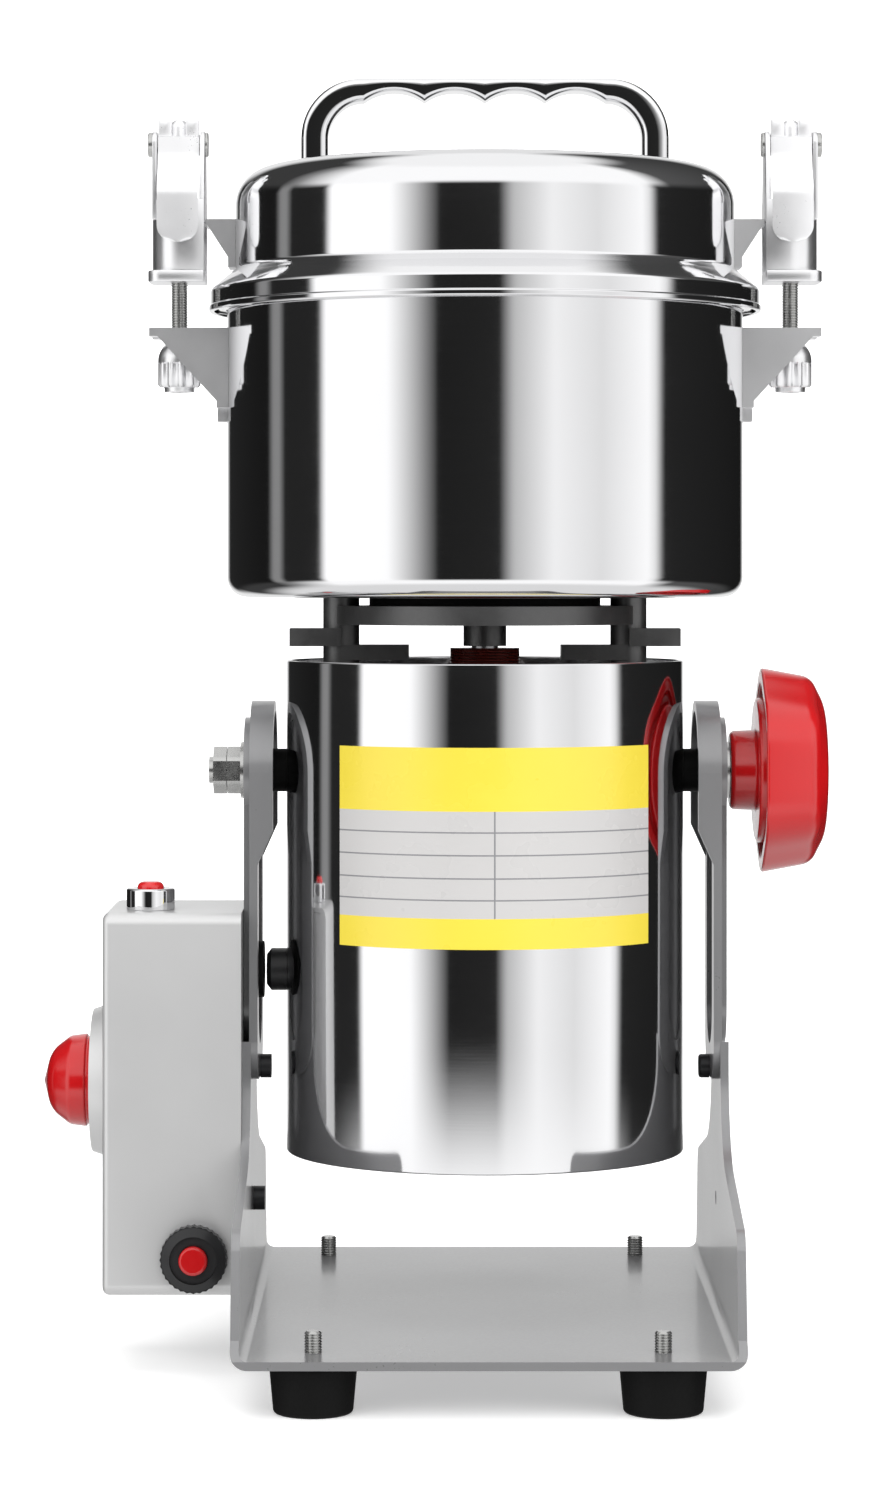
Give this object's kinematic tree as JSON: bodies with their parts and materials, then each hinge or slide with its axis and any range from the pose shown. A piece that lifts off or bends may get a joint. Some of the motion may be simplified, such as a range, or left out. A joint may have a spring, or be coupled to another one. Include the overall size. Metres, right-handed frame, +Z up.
{
  "type": "nut butter grinder",
  "caption": "Stainless swing grinder: motor can with a clamped, toggle-latched bowl and lid, tilting between two arms of a footed stand with a timer box and a red clamp knob.",
  "frame": {"origin": "on the ground under the axis of the motor can, at the centre of the four feet", "axes": "+Z up along the can's axis, -Y to the front, +X towards the clamp knob"},
  "size_m": [0.2384, 0.206, 0.3867],
  "materials": {
    "stand_paint": "smooth silver-grey gloss paint",
    "box_paint": "fine satin silver-grey powder paint",
    "mirror_steel": "mirror-polished stainless steel",
    "satin_steel": "bright stamped stainless steel",
    "dull_steel": "ground steel",
    "zinc_steel": "bright zinc-plated steel",
    "black_steel": "blackened steel",
    "lamination_steel": "stacked lamination edges",
    "cast_metal": "dull die-cast aluminium",
    "copper_winding": "varnished red-brown copper winding",
    "brass_parts": "plain brass",
    "chrome_trim": "bright chrome plate",
    "red_plastic": "glossy red moulded plastic",
    "red_lens": "clear red moulded lens",
    "black_plastic": "black moulded plastic",
    "black_rubber": "black moulded rubber",
    "white_silicone": "white silicone"
  },
  "bodies": {
    "stand": {"stand_frame": "stand_paint", "rubber_feet": "black_rubber", "foot_studs": "zinc_steel", "control_box_shell": "box_paint", "control_box_plate": "box_paint", "arm_screws": "black_steel", "timer_dial_plate": "box_paint", "timer_body": "black_plastic", "lamp_bezel": "chrome_trim", "lamp_lens": "red_lens", "reset_nut": "black_plastic", "breaker_body": "black_plastic", "arm_grommet": "black_rubber", "mains_gland": "black_plastic"},
    "timer_knob": {"timer_knob": "red_plastic"},
    "reset_button": {"reset_button": "red_plastic"},
    "head": {"motor_can": "mirror_steel", "can_bottom_cover": "dull_steel", "can_screws": "zinc_steel", "can_gland": "black_plastic", "upper_bracket": "cast_metal", "lower_bracket": "cast_metal", "shaft_bearings": "dull_steel", "stator_pack": "lamination_steel", "field_coils": "copper_winding", "brush_holders": "brass_parts", "pivot_bolts": "zinc_steel", "pivot_nuts": "zinc_steel", "pivot_spacers": "black_rubber", "bowl": "mirror_steel", "bowl_seal": "black_rubber", "shaft_collar": "brass_parts", "bowl_screws": "zinc_steel", "bowl_brackets": "satin_steel"},
    "clamp_knob": {"clamp_knob": "red_plastic"},
    "rotor": {"motor_shaft": "dull_steel", "armature_core": "lamination_steel", "armature_winding": "copper_winding", "commutator": "brass_parts", "cooling_fan": "black_plastic", "lower_blade": "satin_steel", "upper_blade": "satin_steel", "blade_spacer": "satin_steel", "blade_nut": "satin_steel"},
    "lid": {"lid_shell": "mirror_steel", "lid_inner_plate": "satin_steel", "lid_gasket": "white_silicone", "lid_handle": "chrome_trim", "handle_screws": "zinc_steel", "lid_lugs": "satin_steel"},
    "left_latch": {"left_latch_rod": "zinc_steel", "left_latch_body": "satin_steel", "left_lever_pin": "zinc_steel"},
    "left_lever": {"left_latch_lever": "satin_steel"},
    "left_latch_nut": {"left_latch_nut": "satin_steel"},
    "right_latch": {"right_latch_rod": "zinc_steel", "right_latch_body": "satin_steel", "right_lever_pin": "zinc_steel"},
    "right_lever": {"right_latch_lever": "satin_steel"},
    "right_latch_nut": {"right_latch_nut": "satin_steel"}
  },
  "joints": [
    {"name": "head_tilt", "type": "hinge", "parent": "stand", "child": "head", "pos_m": [0, 0, 0.1776], "axis": [1, 0, 0], "range_deg": [-90, 90]},
    {"name": "clamp_knob_turn", "type": "hinge", "parent": "head", "child": "clamp_knob", "pos_m": [0.09, 0, 0.1776], "axis": [1, 0, 0], "continuous": true},
    {"name": "timer_turn", "type": "hinge", "parent": "stand", "child": "timer_knob", "pos_m": [-0.12, -0.002, 0.084], "axis": [1, 0, 0], "range_deg": [0, 300]},
    {"name": "reset_press", "type": "slide", "parent": "stand", "child": "reset_button", "axis": [0, 1, 0], "range_m": [0, 0.0025], "stiffness_N_per_m": 300},
    {"name": "rotor_spin", "type": "hinge", "parent": "head", "child": "rotor", "pos_m": [0, 0, 0.17], "axis": [0, 0, 1], "continuous": true},
    {"name": "lid_lift", "type": "slide", "parent": "head", "child": "lid", "axis": [0, 0, 1], "range_m": [0, 0.12]},
    {"name": "left_latch_swing", "type": "hinge", "parent": "head", "child": "left_latch", "pos_m": [-0.0925, 0, 0.3015], "axis": [0, -1, 0], "range_deg": [0, 60]},
    {"name": "left_lever_turn", "type": "hinge", "parent": "left_latch", "child": "left_lever", "pos_m": [-0.0925, 0, 0.367], "axis": [-1, 0, 0], "range_deg": [0, 150]},
    {"name": "left_nut_turn", "type": "hinge", "parent": "left_latch", "child": "left_latch_nut", "pos_m": [-0.0925, 0, 0.2975], "axis": [0, 0, 1], "continuous": true},
    {"name": "right_latch_swing", "type": "hinge", "parent": "head", "child": "right_latch", "pos_m": [0.0925, 0, 0.3015], "axis": [0, 1, 0], "range_deg": [0, 60]},
    {"name": "right_lever_turn", "type": "hinge", "parent": "right_latch", "child": "right_lever", "pos_m": [0.0925, 0, 0.367], "axis": [-1, 0, 0], "range_deg": [0, 150]},
    {"name": "right_nut_turn", "type": "hinge", "parent": "right_latch", "child": "right_latch_nut", "pos_m": [0.0925, 0, 0.2975], "axis": [0, 0, 1], "continuous": true}
  ]
}
